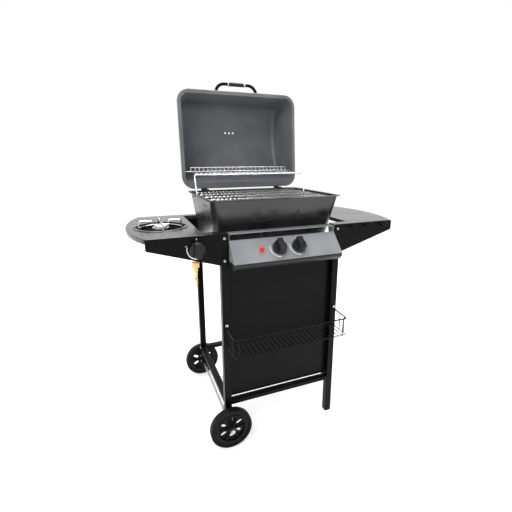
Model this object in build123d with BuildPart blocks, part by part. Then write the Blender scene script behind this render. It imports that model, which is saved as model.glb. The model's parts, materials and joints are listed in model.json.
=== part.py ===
from build123d import *
import os
from math import cos, degrees, hypot, radians, sin, tan

os.makedirs("parts", exist_ok=True)

# Gas barbecue grill on a wheeled cart, lid open.
# +X is to the right of the cook, +Y goes back, +Z up, and the floor is Z = 0.
# The origin is the middle of the bounding box, on the floor.

# ---------------------------------------------------------------- driving dimensions
# Cart frame
cart_width = 448.0          # over the outsides of the legs
cart_depth = 428.0          # from the front face of the front legs to the back of the rear ones
leg_size = 25.0
tube_wall = 1.5
rail_height = 16.0
low_rail_z = 148.0          # underside of the lower rails
firebox_floor_z = 690.0     # the firebox stands on the upper rails at this height
plug_height = 3.0
wheel_leg_z = 58.0          # underside of the two legs that carry the axle
sheet = 1.5                 # folded sheet panels

# Wheels
wheel_radius = 76.0
wheel_width = 26.0
wheel_gap = 12.0            # between the leg and the tyre
axle_radius = 5.0
running_fit = 0.08
hub_radius = 14.0
spoke_count = 6
tread_count = 40

# Shelves
shelf_top = 784.0
shelf_inner_x = 275.0       # edge beside the firebox
shelf_corner_x = 452.0      # where the rounded end starts
shelf_bulge = 48.0          # how far the rounded end stands out
shelf_rim = 14.0
strip_depth = 38.0          # tongues in front of and behind the firebox
fascia_sheet = 2.0
fascia_outer_height = 35.0
fascia_inner_height = 105.0

# Side burner
burner_x = -385.0
burner_y = 190.0            # back from the front of the cart
burner_hole_radius = 83.0
burner_lip_width = 10.0
notch_reach = 90.0
notch_width = 22.0

# Control panel
panel_width = 393.0
panel_top = 780.0
band_height = 22.0
incline_run = 60.0
incline_drop = 64.0
lip_drop = 24.0
knob_middle_x = 3.0
knob_pitch = 72.0
igniter_x = -96.0
side_knob_x = -300.0
side_knob_z = 742.0
knob_radius = 25.0
knob_height = 27.0
skirt_height = 11.0
stem_radius = 4.0
stem_reach = 19.0           # how far a stem stands out of its panel
push_travel = 3.0
panel_to_knob = 5.0

# Firebox
rim_top = 883.0
firebox_width = 480.0       # outside of the walls at the rim
firebox_front_y = 35.0      # outside of the front wall at the rim
firebox_back_y = 402.0
firebox_side_draft = 6.9
firebox_front_draft = 15.8
firebox_back_draft = 12.0
firebox_corner = 28.0
firebox_wall = 1.6
flange_width = 10.0
flange_back = 18.0
flange_sheet = 2.0

# Cooking grate
grate_width = 448.0
grate_front_y = 44.0
grate_back_y = 393.0
grate_wire = 2.0
grate_bar = 3.0
grate_pitch = 15.0
grate_top = 880.0

# Lid, drawn closed: u forward of the hinge line and v above it
lid_open_angle = 94.5
hinge_y = 430.0
hinge_below_rim = 3.0
rest_gap = 1.0
lid_width = 524.0           # over the rolled rim
lid_length = 399.0
lid_back_u = 8.0
bead_width = 13.0
bead_height = 9.0
lid_corner = 38.0
lid_draft = 6.5
lid_crown_radius = 20.0
lid_wall = 1.6
lid_depth = 178.0
vent_u = 262.0
handle_v = 42.0
handle_half_width = 91.0
handle_reach = 53.0
handle_radius = 6.5
grip_half_length = 34.0

# Warming rack
pivot_y = 295.0             # the bail's pivots in the firebox walls
pivot_z = 872.0
bail_lean_y = 36.0
bail_rise_z = 78.0
bail_radius = 2.5
bail_half_width = 231.5
rack_half_width = 221.0
rack_pitch = 18.0
rack_wire = 1.7
back_rail_rise = 16.0
pin_half_width = 257.0
pin_hole_gap = 1.0

# Basket on the front legs
basket_reach = 88.0
basket_half_width = 212.0
basket_floor_z = 391.0
basket_front_z = 455.0
basket_screw_z = 466.0
basket_wire = 1.6
basket_rail = 2.5
basket_pitch = 18.0

# ---------------------------------------------------------------- derived places
lid_lean = radians(lid_open_angle - 90)
leg_x = cart_width / 2 - leg_size / 2
side_rail_z = firebox_floor_z - rail_height

# Side outline of the lid's skin: u to the right, v up. It is drawn first because the open
# lid is what reaches furthest back.
wall_back_u = lid_back_u + bead_width
wall_front_u = lid_back_u + lid_length - bead_width
rim_v = hinge_below_rim + rest_gap
wall_run_on = 30.0
wall_slope = 0.344            # how far the back wall leans forward for each unit it rises


def lid_outline(inset):
    """The side outline of the lid, drawn in by inset; it runs on below the rim."""
    back_u = wall_back_u + inset
    front_u = wall_front_u - inset
    low_v = rim_v - wall_run_on
    with BuildSketch() as outline:
        with BuildLine():
            back_wall = Line((back_u, low_v), (back_u + wall_slope * (96 - low_v), 96))
            front_wall = Line((front_u - 6, 100), (front_u, low_v))
            crown = ThreePointArc((wall_back_u + 105, 158 - inset), (vent_u - 10, lid_depth - inset),
                                  (wall_front_u - 62, 168 - inset))
            Bezier(back_wall @ 1, (back_u + 58, 136 - inset / 2), crown @ 0 - crown % 0 * 34, crown @ 0)
            Bezier(crown @ 1, crown @ 1 + crown % 1 * 34, (front_u - 9, 142 - inset / 2), front_wall @ 0)
            Line(front_wall @ 1, back_wall @ 0)
        make_face()
    return outline.sketch


lid_reach = lid_outline(0).rotate(Axis.Z, degrees(lid_lean)).bounding_box().max.Y

# The origin lies midway between the basket's front rail and the back of the open lid.
front = -(hinge_y + lid_reach - basket_reach - basket_rail) / 2
back = front + cart_depth
rear_leg_y = back - leg_size / 2
front_leg_y = front + leg_size / 2


# ---------------------------------------------------------------- shared shapes
def rod(points, radius, bend=0.0, closed=False):
    """A round wire or pipe through the points, with its corners bent to the given radius."""
    with BuildPart() as wire:
        with BuildLine() as path:
            if bend:
                FilletPolyline(*points, radius=bend, close=closed)
            else:
                Polyline(*points, close=closed)
        with BuildSketch(Plane(origin=path.line @ 0, z_dir=path.line % 0)):
            Circle(radius)
        sweep()
    return wire.part


def square_tube(plane, width, height, length):
    """A square or rectangular tube with open ends that starts on the plane."""
    with BuildPart() as tube:
        with BuildSketch(plane):
            RectangleRounded(width, height, 2)
            Rectangle(width - 2 * tube_wall, height - 2 * tube_wall, mode=Mode.SUBTRACT)
        extrude(amount=length)
    return tube.part


def screw_head(plane, radius, height):
    """A domed screw head with a cross slot, seated on the plane."""
    with BuildPart() as head:
        with BuildSketch(plane):
            Circle(radius)
        extrude(amount=height)
        fillet(head.edges().group_by(lambda e: plane.to_local_coords(e.center()).Z)[-1], height * 0.6)
        with BuildSketch(plane.offset(height)):
            Rectangle(radius, radius / 4)
            Rectangle(radius / 4, radius)
        extrude(amount=-height / 2, mode=Mode.SUBTRACT)
    return head.part


def facing(x, y, z, x_dir, z_dir):
    """A plane at a point, with its own X along x_dir and its normal along z_dir."""
    return Plane(origin=(x, y, z), x_dir=x_dir, z_dir=z_dir)


def spaced(low, high, pitch):
    """Evenly spaced values from low to high, as near to the pitch as they divide."""
    count = round((high - low) / pitch)
    return [low + (high - low) * i / count for i in range(count + 1)]


# ---------------------------------------------------------------- cart frame
def leg(x, y, foot_z):
    """A square leg from foot_z up to the underside of the shelf."""
    return square_tube(Plane((x, y, foot_z)), leg_size, leg_size, shelf_top - sheet - foot_z)


right_foot_z = plug_height
left_foot_z = wheel_leg_z + plug_height
axle_z = wheel_radius

with BuildPart() as leg_front_right:
    add(leg(leg_x, front_leg_y, right_foot_z))
leg_front_right.part.label = "leg_front_right"
export_step(leg_front_right.part, "parts/leg_front_right.step")

with BuildPart() as leg_rear_right:
    add(leg(leg_x, rear_leg_y, right_foot_z))
leg_rear_right.part.label = "leg_rear_right"
export_step(leg_rear_right.part, "parts/leg_rear_right.step")

# The left legs stop short of the floor, and the axle runs through both of them.
axle_plane = Plane(origin=(-leg_x, front, axle_z), x_dir=(1, 0, 0), z_dir=(0, 1, 0))

with BuildPart() as leg_front_left:
    add(leg(-leg_x, front_leg_y, left_foot_z))
    with BuildSketch(axle_plane):
        Circle(axle_radius + running_fit)
    extrude(amount=leg_size, mode=Mode.SUBTRACT)
leg_front_left.part.label = "leg_front_left"
export_step(leg_front_left.part, "parts/leg_front_left.step")

with BuildPart() as leg_rear_left:
    add(leg(-leg_x, rear_leg_y, left_foot_z))
    with BuildSketch(axle_plane.offset(cart_depth)):
        Circle(axle_radius + running_fit)
    extrude(amount=-leg_size, mode=Mode.SUBTRACT)
leg_rear_left.part.label = "leg_rear_left"
export_step(leg_rear_left.part, "parts/leg_rear_left.step")

with BuildPart() as foot_plugs:
    for x, foot_z in ((leg_x, 0), (-leg_x, wheel_leg_z)):
        for y in (front_leg_y, rear_leg_y):
            with BuildSketch(Plane((x, y, foot_z))):
                RectangleRounded(leg_size, leg_size, 3)
            extrude(amount=plug_height)
            with BuildSketch(Plane((x, y, foot_z + plug_height))):
                Rectangle(leg_size - 2 * tube_wall, leg_size - 2 * tube_wall)
                Rectangle(leg_size - 2 * tube_wall - 4, leg_size - 2 * tube_wall - 4, mode=Mode.SUBTRACT)
            extrude(amount=8)
foot_plugs.part.label = "foot_plugs"
export_step(foot_plugs.part, "parts/foot_plugs.step")

# Lower rails: front, rear and two sides, all between the legs.
cross_length = cart_width - 2 * leg_size
side_length = cart_depth - 2 * leg_size


def cross_rail(y, z):
    """A rectangular tube from the left legs to the right legs with its underside at z."""
    start = facing(-cross_length / 2, y, z + rail_height / 2, (0, 1, 0), (1, 0, 0))
    return square_tube(start, leg_size, rail_height, cross_length)


def side_rail(x, z):
    """A rectangular tube from a front leg to a rear leg with its underside at z."""
    start = facing(x, front + leg_size, z + rail_height / 2, (1, 0, 0), (0, 1, 0))
    return square_tube(start, leg_size, rail_height, side_length)


with BuildPart() as rail_low_front:
    add(cross_rail(front_leg_y, low_rail_z))
rail_low_front.part.label = "rail_low_front"
export_step(rail_low_front.part, "parts/rail_low_front.step")

with BuildPart() as rail_low_rear:
    add(cross_rail(rear_leg_y, low_rail_z))
rail_low_rear.part.label = "rail_low_rear"
export_step(rail_low_rear.part, "parts/rail_low_rear.step")

with BuildPart() as rails_low_side:
    add(side_rail(leg_x, low_rail_z))
    add(side_rail(-leg_x, low_rail_z))
rails_low_side.part.label = "rails_low_side"
export_step(rails_low_side.part, "parts/rails_low_side.step")

with BuildPart() as rails_high:
    add(side_rail(leg_x, side_rail_z))
    add(side_rail(-leg_x, side_rail_z))
    add(cross_rail(rear_leg_y, side_rail_z))
rails_high.part.label = "rails_high"
export_step(rails_high.part, "parts/rails_high.step")

with BuildPart() as frame_bolts:
    for side in (-1, 1):
        for y in (front_leg_y, rear_leg_y):
            for z in (low_rail_z, side_rail_z):
                add(screw_head(facing(side * cart_width / 2, y, z + rail_height / 2, (0, 1, 0), (side, 0, 0)),
                               5, 3))
frame_bolts.part.label = "frame_bolts"
export_step(frame_bolts.part, "parts/frame_bolts.step")

# ---------------------------------------------------------------- front panel
panel_set_back = 20.0
slit = 7.0
panel_floor = low_rail_z + rail_height + slit
panel_ceiling = panel_top - band_height - incline_drop - lip_drop - 2
panel_fold = 10.0

with BuildPart() as front_panel:
    with BuildSketch(Plane((0, front + panel_set_back + panel_fold / 2, panel_floor))):
        Rectangle(cross_length, panel_fold)
    extrude(amount=panel_ceiling - panel_floor)
    hollow = front_panel.faces().sort_by(Axis.Y)[-1]
    offset(amount=-sheet, openings=hollow)
front_panel.part.label = "front_panel"
export_step(front_panel.part, "parts/front_panel.step")

# ---------------------------------------------------------------- axle and wheels
nut_height = 9.0
hub_play = 0.5
hub_outer_y = wheel_gap + wheel_width + 4
axle_stub = hub_outer_y + hub_play + nut_height - 3

with BuildPart() as axle:
    with BuildSketch(axle_plane.offset(-axle_stub)):
        Circle(axle_radius)
    extrude(amount=cart_depth + 2 * axle_stub)
axle.part.label = "axle"
export_step(axle.part, "parts/axle.step")

with BuildPart() as axle_nuts:
    for nut_y, outward in ((front - hub_outer_y - hub_play, -1), (back + hub_outer_y + hub_play, 1)):
        nut_plane = facing(-leg_x, nut_y, axle_z, (1, 0, 0), (0, outward, 0))
        with BuildSketch(nut_plane):
            RegularPolygon(9, 6)
        extrude(amount=nut_height)
        with BuildSketch(nut_plane):
            Circle(axle_radius)
        extrude(amount=nut_height - 3, mode=Mode.SUBTRACT)
axle_nuts.part.label = "axle_nuts"
export_step(axle_nuts.part, "parts/axle_nuts.step")


def wheel(leg_face_y, outward):
    """A moulded wheel beside the leg face at leg_face_y, on its outward side."""
    hub_plane = facing(-leg_x, leg_face_y, axle_z, (1, 0, 0), (0, outward, 0))
    tyre_plane = hub_plane.offset(wheel_gap)
    with BuildPart() as body:
        with BuildSketch(tyre_plane):
            Circle(wheel_radius)
        extrude(amount=wheel_width)
        shoulder = body.edges().filter_by(GeomType.CIRCLE)
        fillet(shoulder, 4)
        # Both side walls are dished between the tyre ring and the hub.
        for face_plane, inward in ((tyre_plane, 1), (tyre_plane.offset(wheel_width), -1)):
            with BuildSketch(face_plane):
                Circle(wheel_radius - 7)
                Circle(wheel_radius - 22, mode=Mode.SUBTRACT)
            extrude(amount=inward * 3, mode=Mode.SUBTRACT)
            with BuildSketch(face_plane):
                Circle(wheel_radius - 27)
                Circle(hub_radius, mode=Mode.SUBTRACT)
            extrude(amount=inward * (wheel_width - 7) / 2, mode=Mode.SUBTRACT)
        # Windows between the spokes.
        with BuildSketch(tyre_plane):
            with PolarLocations((wheel_radius - 27 + hub_radius) / 2 + 2, spoke_count, start_angle=30):
                SlotOverall(24, 13)
        extrude(amount=wheel_width, mode=Mode.SUBTRACT)
        # Spokes stand on both sides of the web.
        with BuildSketch(tyre_plane.offset(3)):
            with PolarLocations((wheel_radius - 27 + hub_radius) / 2, spoke_count):
                Rectangle(wheel_radius - 27 - hub_radius + 4, 5)
        extrude(amount=wheel_width - 6)
        # Tread grooves across the rim.
        with BuildSketch(tyre_plane):
            with PolarLocations(wheel_radius, tread_count):
                Rectangle(4, 3.6)
        extrude(amount=wheel_width, mode=Mode.SUBTRACT)
        with BuildSketch(hub_plane.offset(1.5)):
            Circle(hub_radius)
        extrude(amount=hub_outer_y - 1.5)
        with BuildSketch(hub_plane.offset(1.5)):
            Circle(axle_radius + running_fit)
        extrude(amount=hub_outer_y - 1.5, mode=Mode.SUBTRACT)
    return body.part


with BuildPart() as wheel_front:
    add(wheel(front, -1))
wheel_front.part.label = "wheel_front"
export_step(wheel_front.part, "parts/wheel_front.step")

with BuildPart() as wheel_rear:
    add(wheel(back, 1))
wheel_rear.part.label = "wheel_rear"
export_step(wheel_rear.part, "parts/wheel_rear.step")

# ---------------------------------------------------------------- shelves
shelf_inset = panel_width / 2 + 1.5
shelf_plane = Plane((0, front, shelf_top))
with BuildSketch() as shelf_outline:
    with BuildLine():
        bulge = ThreePointArc((shelf_corner_x, 0), (shelf_corner_x + shelf_bulge, cart_depth / 2),
                              (shelf_corner_x, cart_depth))
        Polyline(bulge @ 1, (shelf_inset, cart_depth), (shelf_inset, cart_depth - strip_depth),
                 (shelf_inner_x, cart_depth - strip_depth), (shelf_inner_x, strip_depth),
                 (shelf_inset, strip_depth), (shelf_inset, 0), bulge @ 0)
    make_face()
    fillet(shelf_outline.vertices().sort_by(Axis.X)[-2:], 22)


def shelf():
    """The right-hand shelf: a pressed sheet with its edge turned down."""
    with BuildPart() as plate:
        with BuildSketch(shelf_plane):
            add(shelf_outline.sketch)
        extrude(amount=-shelf_rim)
        top_edges = plate.faces().sort_by(Axis.Z)[-1].edges().sort_by(Axis.X)[-3:]
        fillet(top_edges, 4)
        with BuildSketch(shelf_plane.offset(-sheet)):
            add(shelf_outline.sketch)
            offset(amount=-sheet)
        pocket = extrude(amount=-shelf_rim, mode=Mode.PRIVATE)
        pocket_edges = pocket.faces().sort_by(Axis.Z)[-1].edges().sort_by(Axis.X)[-3:]
        add(pocket.fillet(2.5, pocket_edges), mode=Mode.SUBTRACT)
        # Clearance for the legs, which reach up to the underside of the sheet.
        for y in (front_leg_y, rear_leg_y):
            with BuildSketch(Plane((leg_x, y, shelf_top - sheet))):
                Rectangle(leg_size, leg_size)
            extrude(amount=-shelf_rim, mode=Mode.SUBTRACT)
    return plate.part


with BuildPart() as right_shelf:
    add(shelf())
right_shelf.part.label = "right_shelf"
export_step(right_shelf.part, "parts/right_shelf.step")

burner_plane = Plane((burner_x, front + burner_y, shelf_top))
with BuildPart() as left_shelf:
    mirror(shelf(), about=Plane.YZ)
    # A raised lip runs round the side burner's hole.
    with BuildSketch(burner_plane.offset(-sheet)):
        Circle(burner_hole_radius + burner_lip_width)
    extrude(amount=sheet + 2)
    lip_edge = left_shelf.faces().sort_by(Axis.Z)[-1].edges()
    fillet(lip_edge, 1.5)
    with BuildSketch(burner_plane.offset(4)):
        Circle(burner_hole_radius)
        SlotOverall(2 * notch_reach, notch_width)
    extrude(amount=-4 - 2 * sheet, mode=Mode.SUBTRACT)
left_shelf.part.label = "left_shelf"
export_step(left_shelf.part, "parts/left_shelf.step")

fascia_slope = (fascia_inner_height - fascia_outer_height) / (shelf_corner_x - cart_width / 2)


def fascia(side):
    """The tapered sheet in front of a shelf; side is -1 for the left and 1 for the right."""
    face_plane = facing(0, front, shelf_top, (1, 0, 0), (0, -1, 0))
    low_inner = -fascia_inner_height
    low_outer = -fascia_outer_height
    outer = side * shelf_corner_x
    knee = side * cart_width / 2
    inner = side * (panel_width / 2 + 1)
    with BuildPart() as plate:
        with BuildSketch(face_plane) as outline:
            with BuildLine():
                Polyline((inner, 0), (outer, 0), (outer, low_outer), (knee, low_inner),
                         (inner, low_inner), (inner, 0))
            make_face()
            fillet(outline.vertices().sort_by_distance((outer, low_outer))[0], 6)
        extrude(amount=fascia_sheet)
        # The lower edge is folded back under the shelf.
        fold_start = knee + side * 4
        fold_end = outer - side * 8
        with BuildSketch(face_plane):
            with BuildLine():
                Polyline((fold_start, low_inner + 4 * fascia_slope), (fold_end, low_outer - 8 * fascia_slope),
                         (fold_end, low_outer - 8 * fascia_slope + sheet),
                         (fold_start, low_inner + 4 * fascia_slope + sheet),
                         (fold_start, low_inner + 4 * fascia_slope))
            make_face()
        extrude(amount=-12)
    return plate.part


knob_hole_gap = 1.0
with BuildPart() as left_fascia:
    add(fascia(-1))
    with BuildSketch(facing(side_knob_x, front, side_knob_z, (1, 0, 0), (0, -1, 0))):
        Circle(stem_radius + knob_hole_gap)
    extrude(amount=fascia_sheet, mode=Mode.SUBTRACT)
left_fascia.part.label = "left_fascia"
export_step(left_fascia.part, "parts/left_fascia.step")

with BuildPart() as right_fascia:
    add(fascia(1))
right_fascia.part.label = "right_fascia"
export_step(right_fascia.part, "parts/right_fascia.step")

with BuildPart() as shelf_rear_brackets:
    for side in (-1, 1):
        with BuildSketch(facing(0, back, shelf_top, (1, 0, 0), (0, -1, 0))):
            with BuildLine():
                Polyline((side * shelf_inset, -1), (side * (shelf_corner_x - 22), -1),
                         (side * (shelf_corner_x - 22), -fascia_outer_height),
                         (side * cart_width / 2, -fascia_inner_height),
                         (side * shelf_inset, -fascia_inner_height), (side * shelf_inset, -1))
            make_face()
        extrude(amount=-fascia_sheet)
shelf_rear_brackets.part.label = "shelf_rear_brackets"
export_step(shelf_rear_brackets.part, "parts/shelf_rear_brackets.step")

# Three pegs with upturned ends on the right fascia.
hook_x = 270.0
hook_pitch = 66.5
hook_z = shelf_top - 12
hook_wire = 2.6
hook_length = 24.0
with BuildPart() as tool_hooks:
    for i in range(3):
        x = hook_x + i * hook_pitch
        root_y = front - fascia_sheet
        tip_y = root_y - hook_length
        with BuildSketch(facing(x, root_y, hook_z, (1, 0, 0), (0, -1, 0))):
            Circle(6)
        extrude(amount=2.5)
        add(rod([(x, root_y - 2, hook_z), (x, tip_y, hook_z - 3), (x, tip_y - 3, hook_z + 9)], hook_wire, 5))
        with Locations((x, tip_y - 3, hook_z + 10)):
            Sphere(hook_wire + 1.2)
tool_hooks.part.label = "tool_hooks"
export_step(tool_hooks.part, "parts/tool_hooks.step")

# Screws through both fascias, the rear brackets and the basket's eyes.
basket_eye = 2 * basket_wire + 0.4
with BuildPart() as shelf_screws:
    for side in (-1, 1):
        for z in (shelf_top - 16, shelf_top - 90):
            add(screw_head(facing(side * leg_x, front - fascia_sheet, z, (1, 0, 0), (0, -1, 0)), 4.5, 2.5))
            add(screw_head(facing(side * leg_x, back + fascia_sheet, z, (1, 0, 0), (0, 1, 0)), 4.5, 2.5))
        add(screw_head(facing(side * leg_x, front - basket_eye, basket_screw_z, (1, 0, 0), (0, -1, 0)), 5.5, 3))
shelf_screws.part.label = "shelf_screws"
export_step(shelf_screws.part, "parts/shelf_screws.step")

# ---------------------------------------------------------------- side burner
bowl_radius = burner_hole_radius - 0.5
bowl_floor = -30.0
burner_foot_radius = 12.0
with BuildPart() as side_bowl:
    with BuildSketch(facing(burner_x, front + burner_y, shelf_top, (1, 0, 0), (0, -1, 0))) as bowl_section:
        with BuildLine():
            FilletPolyline((bowl_radius + 9, -2 * sheet - 0.6), (bowl_radius - 1, -2 * sheet - 0.6), (60, bowl_floor),
                           (burner_foot_radius + 0.5, bowl_floor), radius=(3, 10))
            offset(amount=1.2, side=Side.LEFT)
        make_face()
    revolve(axis=Axis((burner_x, front + burner_y, 0), (0, 0, 1)))
side_bowl.part.label = "side_bowl"
export_step(side_bowl.part, "parts/side_bowl.step")

with BuildPart() as side_burner_head:
    with BuildSketch(burner_plane.offset(bowl_floor - 8)):
        Circle(burner_foot_radius)
    extrude(amount=-bowl_floor - 6)
    with BuildSketch(burner_plane.offset(-14)):
        Circle(21)
    with BuildSketch(burner_plane.offset(-5)):
        Circle(28)
    loft()
    with BuildSketch(burner_plane.offset(-5)):
        Circle(28)
    extrude(amount=4)
    with BuildSketch(burner_plane.offset(-1)):
        Circle(24)
    extrude(amount=2.5)
    with BuildSketch(burner_plane.offset(1.5)):
        Circle(22)
    extrude(amount=4)
    cap_edge = side_burner_head.faces().sort_by(Axis.Z)[-1].edges()
    fillet(cap_edge, 2)
    # Flame ports round the head.
    with BuildSketch(burner_plane.offset(-4)):
        with PolarLocations(27, 24):
            Rectangle(5, 2)
    extrude(amount=2, mode=Mode.SUBTRACT)
side_burner_head.part.label = "side_burner_head"
export_step(side_burner_head.part, "parts/side_burner_head.step")

support_wire = 2.0
support_ring = 74.0
support_top = 22.0
support_inner = 28.0
arm_gap = 7.0


def support_arm(angle, aside):
    """One wire arm of the pan support, set aside from the line through the middle."""
    turn = radians(angle)

    def point(out, height):
        x = burner_x + out * cos(turn) - aside * sin(turn)
        y = front + burner_y + out * sin(turn) + aside * cos(turn)
        return (x, y, shelf_top + height)

    return rod([point(support_ring, -5), point(support_ring - 6, support_top), point(support_inner, support_top),
                point(support_inner, support_top - 9)], support_wire, 4)


with BuildPart() as pan_support:
    with Locations((burner_x, front + burner_y, shelf_top - 5)):
        Torus(support_ring, support_wire)
    for angle in (0, 180):
        add(support_arm(angle, arm_gap))
        add(support_arm(angle, -arm_gap))
    for angle in (90, 270):
        add(support_arm(angle, 0))
pan_support.part.label = "pan_support"
export_step(pan_support.part, "parts/pan_support.step")

# ---------------------------------------------------------------- basket
basket_front_y = front - basket_reach
basket_back_y = front - basket_wire - 0.2
basket_mid_y = (basket_front_y + basket_back_y) / 2
basket_corner = 10.0
basket_rail_back = front - basket_rail - 0.2
rail_back_z = basket_screw_z - 8.5       # just under the screw's head, joined to the eye's lower edge
upright_shift = 0.5
with BuildPart() as basket:
    # Lower ring, floor wires and the raised rail that runs round the front.
    add(rod([(-basket_half_width, basket_back_y, basket_floor_z), (basket_half_width, basket_back_y, basket_floor_z),
             (basket_half_width, basket_front_y, basket_floor_z), (-basket_half_width, basket_front_y, basket_floor_z)],
            basket_wire, basket_corner, closed=True))
    floor_reach = basket_half_width - basket_pitch / 2
    for x in spaced(-floor_reach, floor_reach, basket_pitch):
        add(rod([(x, basket_back_y + 0.4, basket_floor_z + 0.5), (x, basket_back_y - 6, basket_floor_z - 6),
                 (x, basket_front_y + 6, basket_floor_z - 6), (x, basket_front_y - 0.4, basket_floor_z + 0.5)],
                basket_wire, 4))
    add(rod([(-basket_half_width, basket_rail_back, rail_back_z), (-basket_half_width, basket_front_y, basket_front_z),
             (basket_half_width, basket_front_y, basket_front_z), (basket_half_width, basket_rail_back, rail_back_z)],
            basket_rail, basket_corner))
    for side in (-1, 1):
        with BuildSketch(facing(side * leg_x, front, basket_screw_z, (1, 0, 0), (0, -1, 0))):
            Circle(7)
            Circle(2.6, mode=Mode.SUBTRACT)
        extrude(amount=basket_eye)
        # Uprights at the leg, the middle of each end and the front corners.
        upright_x = side * basket_half_width + upright_shift
        for y in (basket_back_y - 8, basket_mid_y, basket_front_y + basket_corner + 6):
            add(rod([(upright_x, y, basket_floor_z - 1), (upright_x, y, basket_front_z)], basket_wire))
    front_reach = basket_half_width - basket_corner - 6
    for x in spaced(-front_reach, front_reach, basket_half_width / 2):
        add(rod([(x, basket_front_y - 0.6, basket_floor_z - 1), (x, basket_front_y - 0.6, basket_front_z)],
                basket_wire))
basket.part.label = "basket"
export_step(basket.part, "parts/basket.step")

# ---------------------------------------------------------------- firebox
firebox_height = rim_top - firebox_floor_z
side_slope = tan(radians(firebox_side_draft))
front_slope = tan(radians(firebox_front_draft))
back_slope = tan(radians(firebox_back_draft))


def firebox_inside_x(z):
    """Half the clear width between the firebox's side walls at the height z."""
    return firebox_width / 2 - firebox_wall - (rim_top - z) * side_slope


def firebox_front_at(z):
    """Where the outside of the front wall lies at the height z."""
    return front + firebox_front_y + (rim_top - z) * front_slope


def firebox_back_at(z):
    """Where the outside of the rear wall lies at the height z."""
    return front + firebox_back_y - (rim_top - z) * back_slope


def tub(inset):
    """The solid inside the firebox's outer skin, drawn in by inset on every wall."""
    with BuildPart() as solid:
        for z, corner in ((firebox_floor_z + inset, firebox_corner + 4), (rim_top, firebox_corner)):
            y_front = firebox_front_at(z) + inset
            y_back = firebox_back_at(z) - inset
            half = firebox_inside_x(z) + firebox_wall - inset
            with BuildSketch(Plane((0, (y_front + y_back) / 2, z))):
                RectangleRounded(2 * half, y_back - y_front, corner - inset)
        loft()
        fillet(solid.faces().sort_by(Axis.Z)[0].edges(), 10 - inset)
    return solid.part


flange_front_y = front + firebox_front_y - flange_width
flange_back_y = front + firebox_back_y + flange_back
emboss_depth = 2.5
front_wall_plane = facing(0, firebox_front_at(rim_top), rim_top, (1, 0, 0),
                          (0, -cos(radians(firebox_front_draft)), -sin(radians(firebox_front_draft))))
wall_drop = cos(radians(firebox_front_draft))
pressing_top = -41 / wall_drop
pressing_floor = -92 / wall_drop


def pressings(grow):
    """Three pressed outlines on the front wall, grown by the given amount."""
    with BuildSketch() as outlines:
        for side in (-1, 1):
            with BuildLine():
                Polyline((side * 128, pressing_top), (side * 192, pressing_top), (side * 188, -76), (side * 160, pressing_floor),
                         (side * 100, pressing_floor), (side * 98, -74), (side * 128, pressing_top))
            make_face()
        with BuildLine():
            Polyline((-88, pressing_top), (88, pressing_top), (43, pressing_floor), (-43, pressing_floor), (-88, pressing_top))
        make_face()
        fillet(outlines.vertices(), 7)
        if grow:
            offset(amount=grow)
    return outlines.sketch


vent_slot_z = rim_top - 76
with BuildPart() as firebox:
    add(tub(0))
    # The rim flange, deeper at the back where the hinges are.
    with BuildSketch(Plane((0, (flange_front_y + flange_back_y) / 2, rim_top))):
        RectangleRounded(firebox_width + 2 * flange_width, flange_back_y - flange_front_y, firebox_corner + 6)
    extrude(amount=-flange_sheet)
    add(tub(firebox_wall), mode=Mode.SUBTRACT)
    # Pressed panels on the front wall, the same sheet pushed inward.
    with BuildSketch(front_wall_plane.offset(-firebox_wall / 2)):
        add(pressings(firebox_wall))
    extrude(amount=-emboss_depth - firebox_wall / 2)
    with BuildSketch(front_wall_plane):
        add(pressings(0))
    extrude(amount=-emboss_depth, mode=Mode.SUBTRACT)
    # Burner tube mouths, the bail's pivots, and the air holes in both side walls.
    with BuildSketch(facing(0, firebox_front_at(rim_top), 0, (1, 0, 0), (0, -1, 0))):
        for side in (-1, 1):
            with Locations((knob_middle_x + side * knob_pitch / 2, firebox_floor_z + 22)):
                Circle(14)
    extrude(amount=-100, mode=Mode.SUBTRACT)
    for side in (-1, 1):
        wall_plane = facing(side * firebox_width / 2, front, 0, (0, side, 0), (side, 0, 0))
        with BuildSketch(wall_plane):
            with Locations((side * pivot_y, pivot_z)):
                Circle(bail_radius + 0.7)
            for y in (188, 247):
                with Locations((side * y, rim_top - 47)):
                    Circle(4)
            for y in (95, 120, 340):
                with Locations((side * y, vent_slot_z)):
                    SlotOverall(26, 8, rotation=side * 60)
            for y in (130, 165):
                with Locations((side * y, rim_top - 28)):
                    SlotOverall(22, 6)
        extrude(amount=-28, mode=Mode.SUBTRACT)
    # Outlet above the drip tray.
    with BuildSketch(Plane((0, front + 245, firebox_floor_z))):
        RectangleRounded(170, 150, 12)
    extrude(amount=4, mode=Mode.SUBTRACT)
firebox.part.label = "firebox"
export_step(firebox.part, "parts/firebox.step")

# Corner tabs that carry the grate, and two strips that carry the flame tamers.
tab_z = grate_top - 2 * grate_wire - 2 * grate_bar + 1
tamer_z = 742.0
tamer_half_width = 55.0
with BuildPart() as grate_ledges:
    for side in (-1, 1):
        tab_outer = firebox_inside_x(tab_z - 14)
        for y in (100, 338):
            with BuildSketch(Plane((side * (tab_outer - 12), front + y, tab_z))):
                Rectangle(24, 50)
            extrude(amount=-2)
            with BuildSketch(Plane((side * (tab_outer - 1), front + y, tab_z))):
                Rectangle(2, 50)
            extrude(amount=-14)
    strip_front_y = firebox_front_at(tamer_z - 2) + firebox_wall
    strip_back_y = firebox_back_at(tamer_z - 2) - firebox_wall
    for y in (strip_front_y + 6.5, strip_back_y - 6.5):
        with BuildSketch(Plane((0, y, tamer_z))):
            Rectangle(2 * firebox_inside_x(tamer_z) - 76, 12.5)
        extrude(amount=-1.5)
grate_ledges.part.label = "grate_ledges"
export_step(grate_ledges.part, "parts/grate_ledges.step")

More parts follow.
